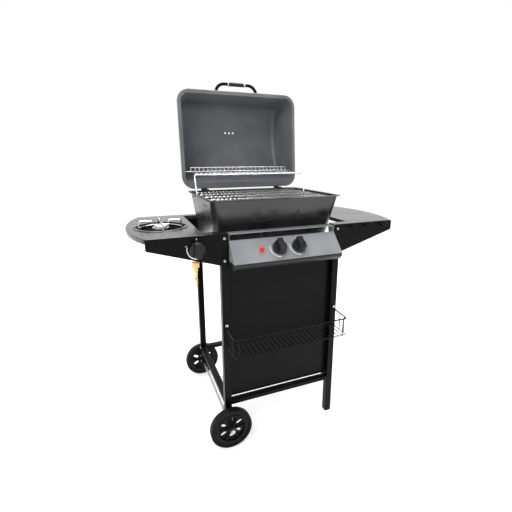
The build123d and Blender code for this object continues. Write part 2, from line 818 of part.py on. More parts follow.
# ---------------------------------------------------------------- cooking grate
bar_z = grate_top - 2 * grate_wire - grate_bar + 1
wire_z = grate_top - grate_wire
grate_x = grate_width / 2 - grate_bar
grate_y0 = front + grate_front_y
grate_y1 = front + grate_back_y
with BuildPart() as cooking_grate:
    frame = [(-grate_x, grate_y0 + grate_bar, bar_z), (grate_x, grate_y0 + grate_bar, bar_z),
             (grate_x, grate_y1 - grate_bar, bar_z), (-grate_x, grate_y1 - grate_bar, bar_z)]
    add(rod(frame, grate_bar, 12, closed=True))
    for y in spaced(grate_y0, grate_y1, (grate_y1 - grate_y0) / 4)[1:-1]:
        add(rod([(-grate_x, y, bar_z), (grate_x, y, bar_z)], grate_bar))
    for x in spaced(-grate_x + grate_pitch, grate_x - grate_pitch, grate_pitch):
        add(rod([(x, grate_y0 + 0.5, wire_z), (x, grate_y1 - 0.5, wire_z)], grate_wire))
cooking_grate.part.label = "cooking_grate"
export_step(cooking_grate.part, "parts/cooking_grate.step")

# ---------------------------------------------------------------- burners and flame tamers
burner_z = firebox_floor_z + 22
burner_radius = 12.5
burner_spread = 112.0
burner_back_y = front + 345


def burner(side):
    """A tube burner: a straight mouth behind its valve, then a bend out to its own half of the box."""
    mouth_x = knob_middle_x + side * knob_pitch / 2
    mouth_y = front + 17
    with BuildPart() as tube:
        add(rod([(mouth_x, mouth_y, burner_z), (mouth_x, front + 112, burner_z),
                 (side * burner_spread, front + 170, burner_z), (side * burner_spread, burner_back_y, burner_z)],
                burner_radius, 34))
        with BuildSketch(facing(mouth_x, mouth_y, burner_z, (1, 0, 0), (0, -1, 0))):
            Circle(burner_radius - 2)
        extrude(amount=-40, taper=4, mode=Mode.SUBTRACT)
        # Flame ports along the top.
        with BuildSketch(Plane((side * burner_spread, front + 265, burner_z + burner_radius - 1))):
            with GridLocations(9, 11, 2, 13):
                Circle(1.5)
        extrude(amount=4, mode=Mode.SUBTRACT)
    return tube.part


with BuildPart() as burner_left:
    add(burner(-1))
burner_left.part.label = "burner_left"
export_step(burner_left.part, "parts/burner_left.step")

with BuildPart() as burner_right:
    add(burner(1))
burner_right.part.label = "burner_right"
export_step(burner_right.part, "parts/burner_right.step")

with BuildPart() as flame_tamers:
    for side in (-1, 1):
        with BuildSketch(facing(side * burner_spread, strip_front_y + 2, tamer_z, (1, 0, 0), (0, -1, 0))):
            with BuildLine():
                Polyline((-tamer_half_width, 0), (0, 30), (tamer_half_width, 0))
                offset(amount=1.4, side=Side.LEFT)
            make_face()
        extrude(amount=-(strip_back_y - strip_front_y - 4))
flame_tamers.part.label = "flame_tamers"
export_step(flame_tamers.part, "parts/flame_tamers.step")

# ---------------------------------------------------------------- drip tray
tray_width = 236.0
tray_height = 11.0
tray_top = side_rail_z - 1
tray_front_y = front + 112
tray_back_y = front + 398
runner_gap = 0.6
with BuildPart() as drip_tray:
    with BuildSketch(Plane((0, (tray_front_y + tray_back_y) / 2, tray_top - tray_height))):
        RectangleRounded(tray_width, tray_back_y - tray_front_y, 8)
    extrude(amount=tray_height)
    offset(amount=-1.2, openings=drip_tray.faces().sort_by(Axis.Z)[-1])
    with BuildSketch(facing(0, tray_back_y, tray_top - tray_height, (1, 0, 0), (0, -1, 0))):
        with Locations((0, tray_height / 2)):
            Rectangle(tray_width + 30, tray_height)
    extrude(amount=-1.5)
drip_tray.part.label = "drip_tray"
export_step(drip_tray.part, "parts/drip_tray.step")

with BuildPart() as tray_runners:
    for side in (-1, 1):
        inner_x = tray_width / 2 + runner_gap
        floor_z = tray_top - tray_height - runner_gap
        with BuildSketch(facing(0, tray_front_y - 10, floor_z, (1, 0, 0), (0, -1, 0))):
            with BuildLine():
                Polyline((side * (inner_x - 12), -sheet), (side * (inner_x + sheet), -sheet),
                         (side * (inner_x + sheet), firebox_floor_z - floor_z),
                         (side * inner_x, firebox_floor_z - floor_z), (side * inner_x, 0),
                         (side * (inner_x - 12), 0), (side * (inner_x - 12), -sheet))
            make_face()
        extrude(amount=-(firebox_back_at(firebox_floor_z) - 14 - tray_front_y + 10))
tray_runners.part.label = "tray_runners"
export_step(tray_runners.part, "parts/tray_runners.step")

# ---------------------------------------------------------------- lid
hinge_z = rim_top - hinge_below_rim
lid_plane = Plane(origin=(0, front + hinge_y, hinge_z), x_dir=(1, 0, 0), z_dir=(0, cos(lid_lean), -sin(lid_lean)))
lid_side = Plane(lid_plane.origin, x_dir=-lid_plane.y_dir, z_dir=-lid_plane.x_dir)
lid_middle_u = lid_back_u + lid_length / 2


def lid_point(x, u, v):
    """A point of the open lid: x across it, u forward of the hinge and v above it when closed."""
    return lid_plane.from_local_coords((x, -u, v))


def back_wall_u(v):
    """Where the outside of the lid's back wall lies at the height v."""
    return wall_back_u + (v - rim_v + wall_run_on) * wall_slope


def above_rim(edge):
    """How far an edge's middle lies above the hinge line in the lid's own frame."""
    return lid_plane.to_local_coords(edge.center()).Z


def dome(inset):
    """The solid under the lid's outer skin, drawn in by inset on every wall."""
    with BuildPart() as solid:
        with BuildSketch(lid_plane.offset(rim_v)):
            with Locations((0, -lid_middle_u)):
                RectangleRounded(lid_width - 2 * (bead_width + inset), lid_length - 2 * (bead_width + inset),
                                 lid_corner - inset)
        extrude(amount=lid_depth + 20, taper=lid_draft)
        with BuildSketch(lid_side):
            add(lid_outline(inset))
        extrude(amount=lid_width / 2, both=True, mode=Mode.INTERSECT)
        shoulder = solid.edges().filter_by(lambda e: above_rim(e) > 64 and abs(e.center().X) > 150)
        fillet(shoulder, lid_crown_radius - inset)
    return solid.part


pin_offset = lid_plane.to_local_coords(
    Vector(0, front + hinge_y + bail_lean_y, hinge_z + bail_rise_z))
pin_u = -pin_offset.Y
pin_v = pin_offset.Z
vent_boss = 3.0
with BuildPart() as lid_shell:
    add(dome(0))
    # Rolled rim.
    with BuildSketch(lid_plane.offset(rim_v)):
        with Locations((0, -lid_middle_u)):
            RectangleRounded(lid_width, lid_length, lid_corner + bead_width)
    bead = extrude(amount=bead_height, mode=Mode.PRIVATE)
    bead_edges = bead.edges().filter_by(lambda e: abs(above_rim(e) - rim_v - bead_height / 2) > 1)
    add(bead.fillet(4, bead_edges))
    add(dome(lid_wall), mode=Mode.SUBTRACT)
    # The oval vent: a pressed boss on the inside with three holes.
    with BuildSketch(lid_plane.offset(lid_depth - lid_wall - vent_boss)):
        with Locations((0, -vent_u)):
            Ellipse(42, 29)
            Ellipse(36, 23, mode=Mode.SUBTRACT)
    extrude(amount=vent_boss + lid_wall / 2)
    with BuildSketch(lid_plane.offset(lid_depth - 12)):
        with Locations((-19, -vent_u), (0, -vent_u), (19, -vent_u)):
            Circle(4)
    extrude(amount=20, mode=Mode.SUBTRACT)
    # Holes in the end walls for the warming rack's pins.
    with BuildSketch(lid_side):
        with Locations((pin_u, pin_v)):
            Circle(bail_radius + pin_hole_gap)
    extrude(amount=lid_width / 2, both=True, mode=Mode.SUBTRACT)
    # A long shallow rib pressed into the back wall.
    rib_v = 46
    rib_plane = Plane(lid_point(0, back_wall_u(rib_v) + lid_wall / 2, rib_v), x_dir=(1, 0, 0),
                      z_dir=lid_point(0, 1, -wall_slope) - lid_point(0, 0, 0))
    with BuildSketch(rib_plane):
        SlotOverall(280, 13)
    extrude(amount=lid_wall + 2.5, taper=30)
lid_shell.part.label = "lid_shell"
export_step(lid_shell.part, "parts/lid_shell.step")

# ---------------------------------------------------------------- lid handle
front_wall_u = wall_front_u - (handle_v - rim_v + wall_run_on) * 6 / (100 - rim_v + wall_run_on)
handle_top_u = front_wall_u + handle_reach
front_wall_plane_lid = Plane(lid_point(0, front_wall_u, handle_v), x_dir=(1, 0, 0), z_dir=-lid_plane.y_dir)
grip_plane = Plane(lid_point(0, handle_top_u, handle_v), x_dir=lid_plane.z_dir, z_dir=(1, 0, 0))
with BuildPart() as handle_tube:
    add(rod([lid_point(-handle_half_width, front_wall_u + 0.5, handle_v),
             lid_point(-handle_half_width, handle_top_u, handle_v),
             lid_point(handle_half_width, handle_top_u, handle_v),
             lid_point(handle_half_width, front_wall_u + 0.5, handle_v)], handle_radius, 38))
    with BuildSketch(front_wall_plane_lid.offset(0.5)):
        with Locations((-handle_half_width, 0), (handle_half_width, 0)):
            Circle(11)
    extrude(amount=2.5)
handle_tube.part.label = "handle_tube"
export_step(handle_tube.part, "parts/handle_tube.step")

with BuildPart() as handle_grip:
    with BuildSketch(grip_plane):
        Circle(handle_radius + 1.6)
        Circle(handle_radius, mode=Mode.SUBTRACT)
    extrude(amount=grip_half_length, both=True)
handle_grip.part.label = "handle_grip"
export_step(handle_grip.part, "parts/handle_grip.step")

with BuildPart() as handle_collars:
    for side in (-1, 1):
        with BuildSketch(grip_plane.offset(side * grip_half_length)):
            Circle(handle_radius + 2.2)
            Circle(handle_radius, mode=Mode.SUBTRACT)
        extrude(amount=side * 5)
handle_collars.part.label = "handle_collars"
export_step(handle_collars.part, "parts/handle_collars.step")

# ---------------------------------------------------------------- hinges
hinge_x = 169.0
knuckle_radius = 6.0
knuckle_width = 26.0
ear_gap = 0.5
ear_sheet = 2.5
pin_radius = 3.0
strap_width = 50.0
strap_sheet = 2.0
strap_top_v = 62.0
stop_gap = 0.4
yz_plane = Plane((0, front + hinge_y, hinge_z), x_dir=(0, 1, 0), z_dir=(1, 0, 0))
ear_x = knuckle_width / 2 + ear_gap
stop_z = -(strap_sheet / 2 + stop_gap + 16 * sin(lid_lean) + 0.3)
under_flange = rim_top - flange_sheet - hinge_z

with BuildPart() as hinge_brackets:
    for x in (-hinge_x, hinge_x):
        for side in (-1, 1):
            with BuildSketch(yz_plane.offset(x + side * ear_x)):
                with BuildLine():
                    Polyline((-26, under_flange), (-10, under_flange), (-10, 0.5), (-5, 3.5),
                             (5, 3.5), (7, stop_z), (17, stop_z), (17, stop_z - 4), (-10, -16), (-26, -8),
                             (-26, under_flange))
                make_face()
                Circle(knuckle_radius)
                Circle(pin_radius + running_fit, mode=Mode.SUBTRACT)
            extrude(amount=side * ear_sheet)
        # Foot plate under the flange, and the stop that the open lid's strap comes down on.
        with BuildSketch(yz_plane.offset(x)):
            with Locations((-18, under_flange - 1)):
                Rectangle(16, 2)
            with BuildLine():
                Polyline((7.5, stop_z), (17, stop_z), (17, stop_z - 3.5), (7.5, stop_z - 3.5), (7.5, stop_z))
            make_face()
        extrude(amount=ear_x + ear_sheet, both=True)
hinge_brackets.part.label = "hinge_brackets"
export_step(hinge_brackets.part, "parts/hinge_brackets.step")

with BuildPart() as hinge_pins:
    for x in (-hinge_x, hinge_x):
        with BuildSketch(yz_plane.offset(x)):
            Circle(pin_radius)
        extrude(amount=ear_x + ear_sheet + 2, both=True)
        with BuildSketch(yz_plane.offset(x + ear_x + ear_sheet + 0.2)):
            Circle(pin_radius + 1.8)
        extrude(amount=2)
hinge_pins.part.label = "hinge_pins"
export_step(hinge_pins.part, "parts/hinge_pins.step")

with BuildPart() as hinge_straps:
    for x in (-hinge_x, hinge_x):
        # The wide leaf lies on the lid's back wall.
        with BuildSketch(lid_side.offset(-x)):
            with BuildLine():
                Polyline((back_wall_u(22), 22), (back_wall_u(strap_top_v), strap_top_v),
                         (back_wall_u(strap_top_v) - strap_sheet, strap_top_v),
                         (back_wall_u(20) - strap_sheet, 20), (back_wall_u(22), 22))
            make_face()
        extrude(amount=strap_width / 2, both=True)
        # The narrow neck comes down over the rolled rim to the knuckle.
        with BuildSketch(lid_side.offset(-x)):
            with BuildLine():
                Polyline((-strap_sheet / 2, 2), (-strap_sheet / 2, 17), (3, 20), (back_wall_u(20) - 1, 22),
                         (back_wall_u(20), 20), (5, 16.5), (strap_sheet / 2, 14), (strap_sheet / 2, 2),
                         (-strap_sheet / 2, 2))
            make_face()
            Circle(knuckle_radius)
            Circle(pin_radius + running_fit, mode=Mode.SUBTRACT)
        extrude(amount=knuckle_width / 2, both=True)
hinge_straps.part.label = "hinge_straps"
export_step(hinge_straps.part, "parts/hinge_straps.step")

with BuildPart() as hinge_screws:
    outward = lid_point(0, -1, wall_slope) - lid_point(0, 0, 0)
    for x in (-hinge_x - 18, -hinge_x + 18, hinge_x - 18, hinge_x + 18):
        seat = Plane(lid_point(x, back_wall_u(44) - strap_sheet, 44), x_dir=(1, 0, 0), z_dir=outward)
        add(screw_head(seat, 4.5, 2.5))
        with BuildSketch(seat.offset(-strap_sheet - lid_wall)):
            RegularPolygon(4.5, 6)
        extrude(amount=-3)
hinge_screws.part.label = "hinge_screws"
export_step(hinge_screws.part, "parts/hinge_screws.step")

# ---------------------------------------------------------------- warming rack and its bail
bail_y = front + pivot_y
rail_y = bail_y + bail_lean_y
rail_z = pivot_z + bail_rise_z
rack_pin_y = front + hinge_y + bail_lean_y
rack_pin_z = hinge_z + bail_rise_z
bail_end_x = firebox_width / 2 + 11
with BuildPart() as rack_bail:
    w = bail_half_width
    add(rod([(-bail_end_x, bail_y, pivot_z), (-w, bail_y, pivot_z), (-w, rail_y, rail_z), (w, rail_y, rail_z),
             (w, bail_y, pivot_z), (bail_end_x, bail_y, pivot_z)], bail_radius, 5))
rack_bail.part.label = "rack_bail"
export_step(rack_bail.part, "parts/rack_bail.step")

sleeve_gap = 0.35
sleeve_radius = bail_radius + sleeve_gap + 1.5
rack_front_y = rail_y + sleeve_radius + rack_wire - 0.6
rack_slope = (rack_pin_z - rail_z) / (rack_pin_y - rail_y)


def rack_z(y):
    """The height of the rack's floor at y."""
    return rail_z + (y - rail_y) * rack_slope


with BuildPart() as warming_rack:
    rw = rack_half_width
    # Cross wires: the front edge, the middle, the pins at the back and the raised back rail.
    add(rod([(-rw, rack_front_y, rack_z(rack_front_y)), (rw, rack_front_y, rack_z(rack_front_y))], bail_radius))
    middle_y = (rack_front_y + rack_pin_y) / 2
    add(rod([(-rw, middle_y, rack_z(middle_y) - 2), (rw, middle_y, rack_z(middle_y) - 2)], rack_wire + 0.3))
    add(rod([(-pin_half_width, rack_pin_y, rack_pin_z), (pin_half_width, rack_pin_y, rack_pin_z)], bail_radius))
    add(rod([(-rw, rack_pin_y, rack_pin_z + back_rail_rise), (rw, rack_pin_y, rack_pin_z + back_rail_rise)],
            bail_radius - 0.3))
    for x in spaced(-rw + 1, rw - 1, rack_pitch):
        add(rod([(x, rack_front_y - 0.5, rack_z(rack_front_y)), (x, rack_pin_y, rack_pin_z),
                 (x, rack_pin_y, rack_pin_z + back_rail_rise)], rack_wire, 5))
    # Sleeves that turn on the bail's rail.
    for x in (-150, 0, 150):
        with BuildSketch(facing(x - 6, rail_y, rail_z, (0, 1, 0), (1, 0, 0))):
            Circle(sleeve_radius)
            Circle(bail_radius + sleeve_gap, mode=Mode.SUBTRACT)
        extrude(amount=12)
warming_rack.part.label = "warming_rack"
export_step(warming_rack.part, "parts/warming_rack.step")

# ---------------------------------------------------------------- control panel
band_floor = panel_top - band_height
incline_floor = band_floor - incline_drop
lip_floor = incline_floor - lip_drop
panel_shelf = 38.0
lip_back = 14.0
incline_normal = Vector(0, -incline_drop, incline_run).normalized()
incline_mid_z = band_floor - incline_drop / 2
panel_side = Plane((0, front, 0), x_dir=(0, 1, 0), z_dir=(1, 0, 0))


def incline_plane(x):
    """The plane on the sloping face of the panel, halfway down, at the given x."""
    return Plane((x, front - incline_run / 2, incline_mid_z), x_dir=(1, 0, 0), z_dir=incline_normal)


igniter_bore = 9.3
bezel_radius = 13.0
with BuildPart() as control_panel:
    with BuildSketch(panel_side) as panel_section:
        with BuildLine():
            FilletPolyline((lip_back, lip_floor), (-incline_run + 14, lip_floor), (-incline_run - 4, incline_floor - 5),
                           (0, band_floor), (0, panel_top), (panel_shelf, panel_top), radius=(11, 13, 3, 2.5))
            Line((panel_shelf, panel_top), (lip_back, lip_floor))
        make_face()
    extrude(amount=panel_width / 2, both=True)
    with BuildSketch(panel_side):
        add(panel_section.sketch_local)
        offset(amount=-sheet)
        with BuildLine():
            Polyline((0, lip_floor + sheet), (0, panel_top - sheet), (panel_shelf + 9, panel_top - sheet),
                     (panel_shelf + 9, lip_floor + sheet), (0, lip_floor + sheet))
        make_face()
    extrude(amount=panel_width / 2 - sheet, both=True, mode=Mode.SUBTRACT)
    for side in (-1, 1):
        with BuildSketch(incline_plane(knob_middle_x + side * knob_pitch / 2)):
            Circle(stem_radius + knob_hole_gap)
        extrude(amount=9, both=True, mode=Mode.SUBTRACT)
    with BuildSketch(incline_plane(igniter_x)):
        Circle(igniter_bore + 1.7)
    extrude(amount=9, both=True, mode=Mode.SUBTRACT)
control_panel.part.label = "control_panel"
export_step(control_panel.part, "parts/control_panel.step")

with BuildPart() as igniter_body:
    igniter_plane = incline_plane(igniter_x)
    with BuildSketch(igniter_plane):
        Circle(bezel_radius)
    extrude(amount=3.2, taper=12)
    with BuildSketch(igniter_plane):
        Circle(igniter_bore + 1.5)
    extrude(amount=-34)
    with BuildSketch(igniter_plane.offset(4)):
        Circle(igniter_bore)
    extrude(amount=-17, mode=Mode.SUBTRACT)
igniter_body.part.label = "igniter_body"
export_step(igniter_body.part, "parts/igniter_body.step")

with BuildPart() as igniter_button:
    with BuildSketch(igniter_plane.offset(-7)):
        Circle(igniter_bore - 0.3)
    extrude(amount=14.5)
    button_face = igniter_button.faces().sort_by_distance(igniter_plane.offset(30).origin)[0]
    fillet(button_face.edges(), 2)
igniter_button.part.label = "igniter_button"
export_step(igniter_button.part, "parts/igniter_button.step")

# ---------------------------------------------------------------- valves and gas pipes
valve_radius = 9.0
valve_length = 38.0
valve_start = 4.0
manifold_radius = 8.0
stem_depth = 16.0
manifold_depth = valve_start + valve_length + manifold_radius
manifold_centre = incline_plane(0).offset(-manifold_depth).origin
supply_y = front + 34
supply_z = firebox_floor_z + 15
supply_radius = 6.0


def valve(plane):
    """A brass valve body behind its panel, bored for the stem."""
    with BuildPart() as body:
        with BuildSketch(plane.offset(-valve_start)):
            Circle(valve_radius)
        extrude(amount=-valve_length)
        with BuildSketch(plane.offset(-valve_start - 8)):
            RegularPolygon(valve_radius + 2, 6)
        extrude(amount=-9)
        with BuildSketch(plane.offset(-valve_start)):
            Circle(stem_radius + 0.3)
        extrude(amount=-(stem_depth - valve_start + push_travel + 1), mode=Mode.SUBTRACT)
    return body.part


with BuildPart() as valve_bodies:
    for side in (-1, 1):
        x = knob_middle_x + side * knob_pitch / 2
        add(valve(incline_plane(x)))
        # The jet points back into the burner's mouth.
        with BuildSketch(facing(x, front - 15, burner_z, (1, 0, 0), (0, 1, 0))):
            Circle(4.5)
        extrude(amount=39)
        with BuildSketch(incline_plane(x).offset(-valve_start)):
            Circle(stem_radius + 0.3)
        extrude(amount=-(stem_depth - valve_start + push_travel + 1), mode=Mode.SUBTRACT)
valve_bodies.part.label = "valve_bodies"
export_step(valve_bodies.part, "parts/valve_bodies.step")

with BuildPart() as manifold:
    add(rod([(knob_middle_x + knob_pitch / 2 + 30, manifold_centre.Y, manifold_centre.Z),
             (-150, manifold_centre.Y, manifold_centre.Z)], manifold_radius))
    add(rod([(-149, manifold_centre.Y, manifold_centre.Z), (-178, manifold_centre.Y, manifold_centre.Z),
             (-178, supply_y, supply_z), (side_knob_x + 8, supply_y, supply_z)], supply_radius, 11))
manifold.part.label = "manifold"
export_step(manifold.part, "parts/manifold.step")

side_panel_plane = facing(side_knob_x, front, side_knob_z, (1, 0, 0), (0, -1, 0))
inlet_z = firebox_floor_z
side_tube_z = side_knob_z - 5
with BuildPart() as side_valve:
    add(valve(side_panel_plane))
    # Down to the tee that the supply pipe and the hose inlet share.
    with BuildSketch(Plane((side_knob_x, supply_y, inlet_z))):
        Circle(6.5)
    extrude(amount=side_knob_z - inlet_z - 3)
    with BuildSketch(facing(side_knob_x, front + 41, side_tube_z, (1, 0, 0), (0, 1, 0))):
        Circle(3)
    extrude(amount=9)
    with BuildSketch(side_panel_plane.offset(-valve_start)):
        Circle(stem_radius + 0.3)
    extrude(amount=-(stem_depth - valve_start + push_travel + 1), mode=Mode.SUBTRACT)
side_valve.part.label = "side_valve"
export_step(side_valve.part, "parts/side_valve.step")

nut_drop = 18.0
barb_radius = 5.2
barb_root = 4.2
barb_length = 58.0
with BuildPart() as gas_inlet:
    with BuildSketch(Plane((side_knob_x, supply_y, inlet_z))):
        RegularPolygon(12, 6)
    extrude(amount=-nut_drop)
    with BuildSketch(facing(side_knob_x, supply_y, inlet_z - nut_drop, (1, 0, 0), (0, -1, 0))):
        with BuildLine():
            Polyline((0, 0), (7, 0), (7, -12), (barb_radius, -14), (barb_radius, -barb_length + 30),
                     (barb_root, -barb_length + 29), (barb_root, -barb_length + 24),
                     (barb_radius, -barb_length + 20), (barb_radius, -barb_length + 16),
                     (barb_root, -barb_length + 15), (barb_root, -barb_length + 10),
                     (barb_radius, -barb_length + 8), (barb_radius, -barb_length + 4),
                     (barb_root, -barb_length), (0, -barb_length), (0, 0))
        make_face()
    revolve(axis=Axis((side_knob_x, supply_y, 0), (0, 0, 1)))
    with BuildSketch(Plane((side_knob_x, supply_y, inlet_z - nut_drop - barb_length))):
        Circle(2.2)
    extrude(amount=40, mode=Mode.SUBTRACT)
gas_inlet.part.label = "gas_inlet"
export_step(gas_inlet.part, "parts/gas_inlet.step")

tube_y = front + 46
burner_floor_z = shelf_top + bowl_floor - 8
with BuildPart() as side_burner_tube:
    add(rod([(side_knob_x, tube_y, side_tube_z), (side_knob_x, front + 110, side_tube_z),
             (burner_x, front + burner_y - 25, side_tube_z), (burner_x, front + burner_y, side_tube_z)],
            9, 18))
    with BuildSketch(Plane((burner_x, front + burner_y, burner_floor_z))):
        Circle(burner_foot_radius)
    extrude(amount=-18)
    with BuildSketch(facing(side_knob_x, tube_y, side_tube_z, (1, 0, 0), (0, 1, 0))):
        Circle(7)
    extrude(amount=40, mode=Mode.SUBTRACT)
side_burner_tube.part.label = "side_burner_tube"
export_step(side_burner_tube.part, "parts/side_burner_tube.step")

# ---------------------------------------------------------------- knobs on their stems


def stem(plane):
    """A valve stem through its panel, standing out far enough to carry the knob."""
    with BuildPart() as spindle:
        with BuildSketch(plane.offset(-stem_depth)):
            Circle(stem_radius)
        extrude(amount=stem_depth + stem_reach)
    return spindle.part


def knob(plane):
    """A control knob: a tapered skirt with a raised grip bar across it."""
    seat = plane.offset(panel_to_knob)
    with BuildPart() as body:
        with BuildSketch(seat):
            Circle(knob_radius)
        extrude(amount=skirt_height, taper=9)
        with BuildSketch(seat):
            Circle(knob_radius)
            Rectangle(23, 2 * knob_radius, mode=Mode.INTERSECT)
        grip = extrude(amount=knob_height, taper=3, mode=Mode.PRIVATE)
        grip_top = grip.faces().sort_by_distance(seat.offset(2 * knob_height).origin)[0]
        add(grip.fillet(2.5, grip_top.edges()))
        with BuildSketch(seat):
            Circle(stem_radius + running_fit)
        extrude(amount=stem_reach - panel_to_knob + 0.5, mode=Mode.SUBTRACT)
        with BuildSketch(seat):
            Circle(knob_radius - 3)
            Circle(stem_radius + 4, mode=Mode.SUBTRACT)
        extrude(amount=skirt_height - 4, taper=9, mode=Mode.SUBTRACT)
    return body.part


with BuildPart() as stem_left:
    add(stem(incline_plane(knob_middle_x - knob_pitch / 2)))
stem_left.part.label = "stem_left"
export_step(stem_left.part, "parts/stem_left.step")

with BuildPart() as stem_right:
    add(stem(incline_plane(knob_middle_x + knob_pitch / 2)))
stem_right.part.label = "stem_right"
export_step(stem_right.part, "parts/stem_right.step")

with BuildPart() as stem_side:
    add(stem(side_panel_plane.offset(fascia_sheet)))
stem_side.part.label = "stem_side"
export_step(stem_side.part, "parts/stem_side.step")

with BuildPart() as knob_left:
    add(knob(incline_plane(knob_middle_x - knob_pitch / 2)))
knob_left.part.label = "knob_left"
export_step(knob_left.part, "parts/knob_left.step")

with BuildPart() as knob_right:
    add(knob(incline_plane(knob_middle_x + knob_pitch / 2)))
knob_right.part.label = "knob_right"
export_step(knob_right.part, "parts/knob_right.step")

with BuildPart() as knob_side:
    add(knob(side_panel_plane.offset(fascia_sheet)))
knob_side.part.label = "knob_side"
export_step(knob_side.part, "parts/knob_side.step")
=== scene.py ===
import json
import math

import bmesh
import bpy
from mathutils import Matrix, Vector


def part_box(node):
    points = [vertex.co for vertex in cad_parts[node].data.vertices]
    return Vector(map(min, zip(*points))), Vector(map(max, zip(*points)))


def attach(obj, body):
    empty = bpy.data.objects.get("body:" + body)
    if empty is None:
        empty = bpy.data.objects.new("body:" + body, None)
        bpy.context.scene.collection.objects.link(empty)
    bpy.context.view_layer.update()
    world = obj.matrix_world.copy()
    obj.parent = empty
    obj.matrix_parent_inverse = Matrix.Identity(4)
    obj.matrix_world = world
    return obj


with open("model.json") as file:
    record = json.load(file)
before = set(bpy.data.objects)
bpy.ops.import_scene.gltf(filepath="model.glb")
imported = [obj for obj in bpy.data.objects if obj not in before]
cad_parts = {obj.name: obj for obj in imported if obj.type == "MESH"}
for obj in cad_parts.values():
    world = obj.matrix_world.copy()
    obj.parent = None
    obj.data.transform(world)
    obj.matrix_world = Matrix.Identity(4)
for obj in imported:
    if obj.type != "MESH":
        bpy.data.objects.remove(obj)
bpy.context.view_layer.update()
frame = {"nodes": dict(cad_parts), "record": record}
nodes = frame["nodes"]
JOINTS = {j["name"]: j for j in frame["record"]["behaviour"]["joints"]}

DUST = (0.30, 0.28, 0.25)
# Printing is this thick, and sits this far above the surface it is on.
INK = 0.00012
INK_LIFT = 0.00002
# The panel is painted near-black from this far below the panel's top.
LIP_DROP = 0.0865
LIP_BLACK = (0.007, 0.007, 0.008)
PAINT_EDGE = 0.0006
# The dial arc, measured from the knob's axis.
ARC_INNER = 0.0296
ARC_OUTER = 0.0318
ARC_GROWTH = 0.0014
ARC_STEPS = 28
TICK_COUNT = 60


# ---------------------------------------------------------------- node helpers
def start(name):
    mat = bpy.data.materials.new(name)
    mat.use_nodes = True
    tree = mat.node_tree
    shader = tree.nodes["Principled BSDF"]
    coords = tree.nodes.new("ShaderNodeTexCoord")
    return mat, tree, shader, coords


def noise(tree, coords, scale, detail=4.0, stretch=None):
    tex = tree.nodes.new("ShaderNodeTexNoise")
    tex.inputs["Scale"].default_value = scale
    tex.inputs["Detail"].default_value = detail
    if stretch:
        mapping = tree.nodes.new("ShaderNodeMapping")
        mapping.inputs["Scale"].default_value = stretch
        tree.links.new(coords.outputs["Object"], mapping.inputs["Vector"])
        tree.links.new(mapping.outputs["Vector"], tex.inputs["Vector"])
    else:
        tree.links.new(coords.outputs["Object"], tex.inputs["Vector"])
    return tex.outputs["Fac"]


def remap(tree, value, from_low, from_high, to_low, to_high):
    node = tree.nodes.new("ShaderNodeMapRange")
    limits = {"From Min": from_low, "From Max": from_high, "To Min": to_low, "To Max": to_high}
    for key, number in limits.items():
        node.inputs[key].default_value = number
    tree.links.new(value, node.inputs["Value"])
    return node.outputs["Result"]


def math_node(tree, kind, a, b):
    node = tree.nodes.new("ShaderNodeMath")
    node.operation = kind
    for socket, value in zip(node.inputs, (a, b)):
        if isinstance(value, (int, float)):
            socket.default_value = value
        else:
            tree.links.new(value, socket)
    return node.outputs[0]


def mix(tree, factor, a, b):
    node = tree.nodes.new("ShaderNodeMix")
    node.data_type = "RGBA"
    tree.links.new(factor, node.inputs[0])
    for socket, value in ((node.inputs[6], a), (node.inputs[7], b)):
        if isinstance(value, tuple):
            socket.default_value = (*value, 1)
        else:
            tree.links.new(value, socket)
    return node.outputs[2]


def bump(tree, shader, layers):
    """Stacks (height socket, distance in metres, strength) layers into the shader's normal."""
    last = None
    for height, distance, strength in layers:
        node = tree.nodes.new("ShaderNodeBump")
        node.inputs["Distance"].default_value = distance
        node.inputs["Strength"].default_value = strength
        tree.links.new(height, node.inputs["Height"])
        if last:
            tree.links.new(last, node.inputs["Normal"])
        last = node.outputs["Normal"]
    tree.links.new(last, shader.inputs["Normal"])


def edge_mask(tree, radius):
    """High on edges and corners: where a rounded normal leaves the true one."""
    bevel = tree.nodes.new("ShaderNodeBevel")
    bevel.samples = 4
    bevel.inputs["Radius"].default_value = radius
    geometry = tree.nodes.new("ShaderNodeNewGeometry")
    dot = tree.nodes.new("ShaderNodeVectorMath")
    dot.operation = "DOT_PRODUCT"
    tree.links.new(bevel.outputs["Normal"], dot.inputs[0])
    tree.links.new(geometry.outputs["Normal"], dot.inputs[1])
    return remap(tree, dot.outputs["Value"], 0.985, 0.80, 0.0, 1.0)


def upward(tree):
    geometry = tree.nodes.new("ShaderNodeNewGeometry")
    split = tree.nodes.new("ShaderNodeSeparateXYZ")
    tree.links.new(geometry.outputs["Normal"], split.inputs[0])
    return remap(tree, split.outputs["Z"], 0.55, 1.0, 0.0, 1.0)


